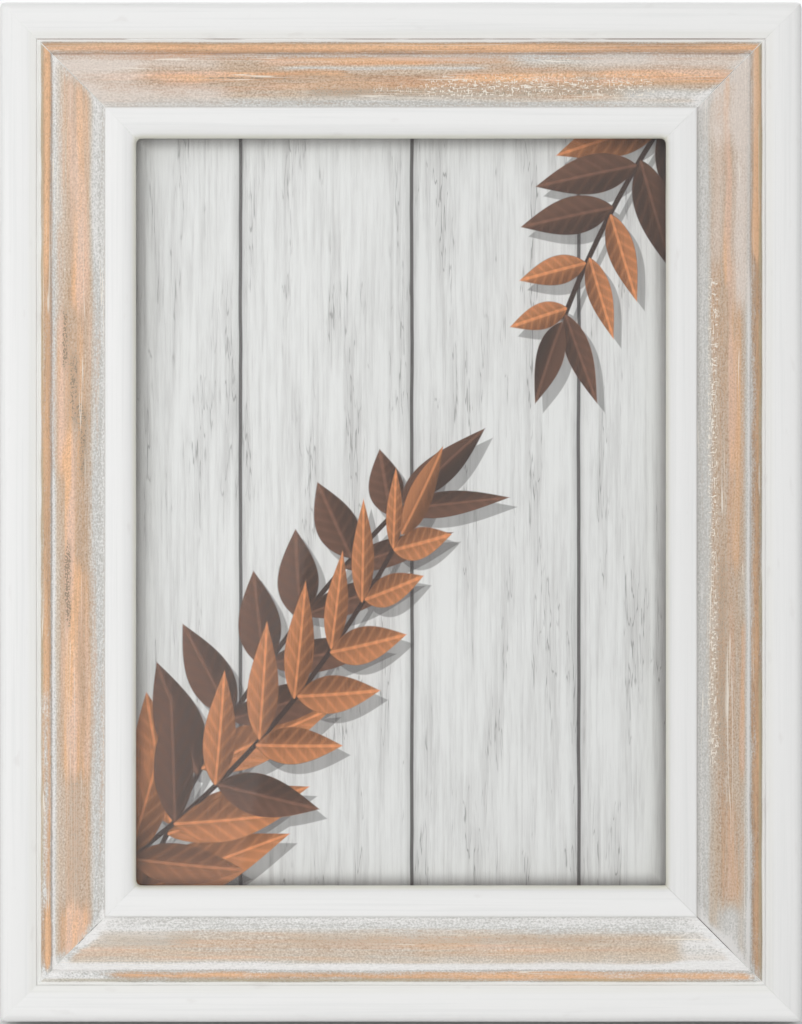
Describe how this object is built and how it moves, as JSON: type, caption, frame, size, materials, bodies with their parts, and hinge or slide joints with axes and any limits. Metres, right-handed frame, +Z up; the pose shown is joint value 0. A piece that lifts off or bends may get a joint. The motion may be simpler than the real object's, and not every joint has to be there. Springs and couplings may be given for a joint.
{
  "type": "picture frame",
  "caption": "Mitred wooden picture frame in distressed white paint with beaded moulding, glass, print, board back on turn buttons, folding easel strut and ring hanger.",
  "frame": {"origin": "on the surface that the frame stands on, under the middle of its bounding box", "axes": "+X to the right as the picture is seen, +Y from the picture to the back where the strut stands, +Z up; the frame leans back on its strut"},
  "size_m": [0.184, 0.0928, 0.2294],
  "materials": {
    "distressed_wood": "white paint rubbed through to tan wood on the bead and field",
    "clear_glass": "clear float glass with ground edges",
    "print_paper": "matt printed insert",
    "coated_board": "thin fibreboard with a dark matt coating and bare edges",
    "zinc_steel": "zinc plated steel"
  },
  "bodies": {
    "frame": {"top_rail": "distressed_wood", "bottom_rail": "distressed_wood", "left_rail": "distressed_wood", "right_rail": "distressed_wood", "top_left_outer_v_nail": "zinc_steel", "top_left_inner_v_nail": "zinc_steel", "top_right_outer_v_nail": "zinc_steel", "top_right_inner_v_nail": "zinc_steel", "bottom_left_outer_v_nail": "zinc_steel", "bottom_left_inner_v_nail": "zinc_steel", "bottom_right_outer_v_nail": "zinc_steel", "bottom_right_inner_v_nail": "zinc_steel", "glass_pane": "clear_glass", "print_insert": "print_paper", "back_panel": "coated_board", "left_upper_button_screw": "zinc_steel", "left_lower_button_screw": "zinc_steel", "right_upper_button_screw": "zinc_steel", "right_lower_button_screw": "zinc_steel", "hinge_base": "zinc_steel", "hinge_pin": "zinc_steel", "base_rivet_1": "zinc_steel", "base_rivet_2": "zinc_steel", "hanger_strap": "zinc_steel", "hanger_rivet": "zinc_steel"},
    "strut": {"easel_strut": "coated_board", "hinge_leaf": "zinc_steel", "strut_rivet_1": "zinc_steel", "strut_rivet_2": "zinc_steel"},
    "left_upper_button": {"left_upper_turn_button": "zinc_steel"},
    "left_lower_button": {"left_lower_turn_button": "zinc_steel"},
    "right_upper_button": {"right_upper_turn_button": "zinc_steel"},
    "right_lower_button": {"right_lower_turn_button": "zinc_steel"},
    "ring": {"hanger_ring": "zinc_steel"}
  },
  "joints": [
    {"name": "strut_hinge", "type": "hinge", "parent": "frame", "child": "strut", "pos_m": [0, 0.01122, 0.13591], "axis": [1, 0, 0], "range_deg": [-30, 0]},
    {"name": "left_upper_swivel", "type": "hinge", "parent": "frame", "child": "left_upper_button", "pos_m": [-0.0725, 0.01714, 0.16542], "axis": [0, 0.9617, -0.274], "continuous": true},
    {"name": "left_lower_swivel", "type": "hinge", "parent": "frame", "child": "left_lower_button", "pos_m": [-0.0725, -0.01301, 0.05963], "axis": [0, 0.9617, -0.274], "continuous": true},
    {"name": "right_upper_swivel", "type": "hinge", "parent": "frame", "child": "right_upper_button", "pos_m": [0.0725, 0.01714, 0.16542], "axis": [0, 0.9617, -0.274], "continuous": true},
    {"name": "right_lower_swivel", "type": "hinge", "parent": "frame", "child": "right_lower_button", "pos_m": [0.0725, -0.01301, 0.05963], "axis": [0, 0.9617, -0.274], "continuous": true},
    {"name": "ring_swing", "type": "hinge", "parent": "frame", "child": "ring", "pos_m": [0, 0.02546, 0.18696], "axis": [1, 0, 0], "range_deg": [-15.9, 164]}
  ]
}
